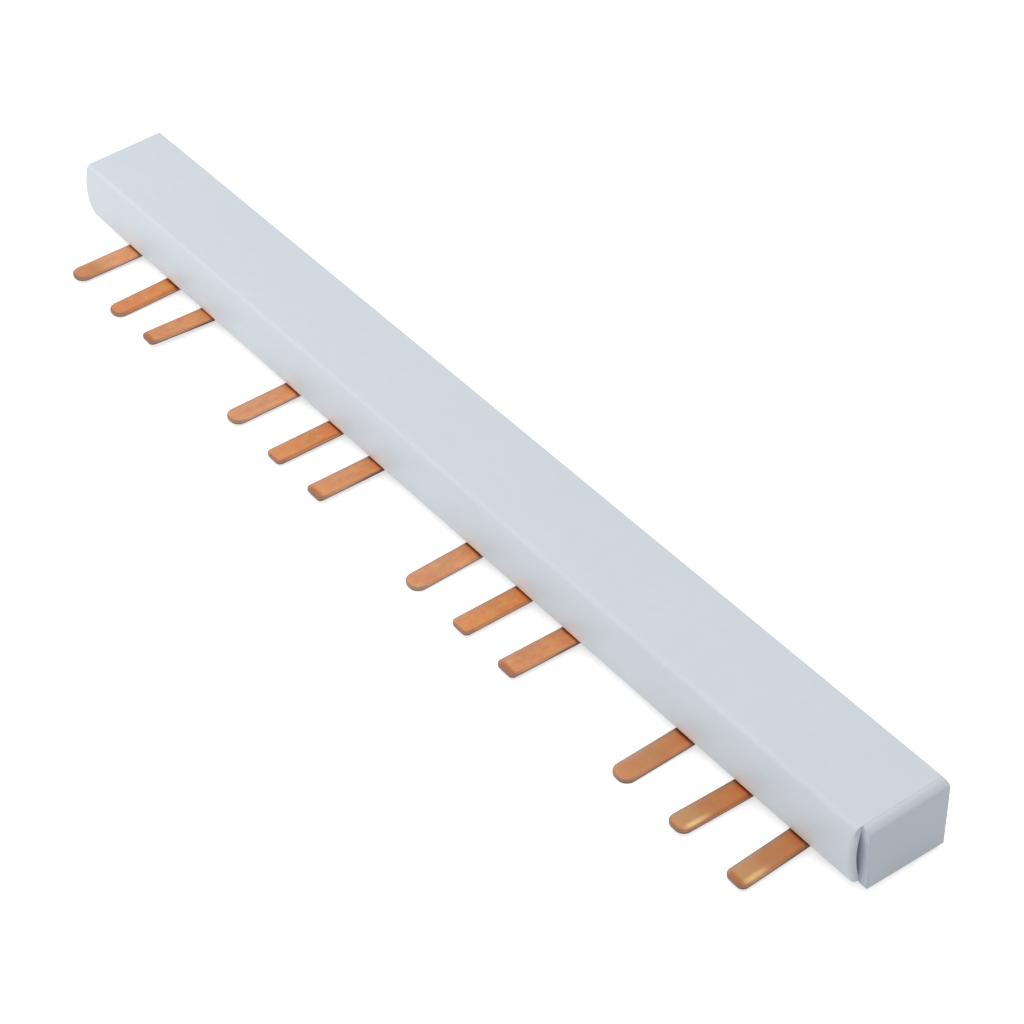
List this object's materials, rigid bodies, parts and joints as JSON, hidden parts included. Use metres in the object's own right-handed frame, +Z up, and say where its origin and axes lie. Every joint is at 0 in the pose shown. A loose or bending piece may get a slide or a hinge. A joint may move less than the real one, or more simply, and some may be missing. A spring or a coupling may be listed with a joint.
{
  "type": "comb busbar",
  "caption": "Comb busbar for a row of circuit breakers: slim extruded plastic housing with stacked copper combs whose flat pins leave in groups along one edge.",
  "frame": {"origin": "middle of the housing's length and depth, on the plane of its underside", "axes": "+X along the row towards the capped end, +Y from the pins to the back, +Z up through the flat top"},
  "size_m": [0.285, 0.0383, 0.0173],
  "materials": {
    "housing_plastic": "satin extruded PVC, white with a blue-grey cast",
    "cap_plastic": "satin moulded plastic, the housing's white or a shade darker",
    "copper": "bare copper, unpolished, softly coined edges"
  },
  "bodies": {
    "root": {"housing": "housing_plastic", "end_cap": "cap_plastic", "comb_l1": "copper", "comb_l2": "copper", "comb_l3": "copper"}
  },
  "joints": []
}
